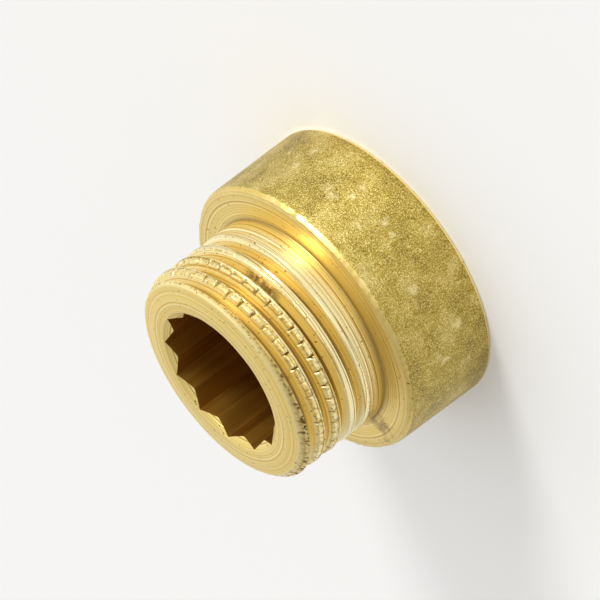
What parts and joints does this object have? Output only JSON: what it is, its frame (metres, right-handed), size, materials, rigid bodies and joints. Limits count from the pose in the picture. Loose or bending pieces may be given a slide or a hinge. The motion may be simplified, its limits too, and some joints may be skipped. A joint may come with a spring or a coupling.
{
  "type": "threaded extension fitting",
  "caption": "Short brass pipe extension with a wide round body, an inside thread at one end and a notched outside thread with a key socket at the other.",
  "frame": {"origin": "centre of the body's end face, at the mouth of the inside thread", "axes": "+Z along the thread axis, from the inside thread to the nose; +X through one point of the key socket"},
  "size_m": [0.0274, 0.0274, 0.0195],
  "materials": {
    "brass": "turned threads and faces, grainy forged skin on the body"
  },
  "bodies": {
    "root": {"extension_fitting": "brass"}
  },
  "joints": []
}
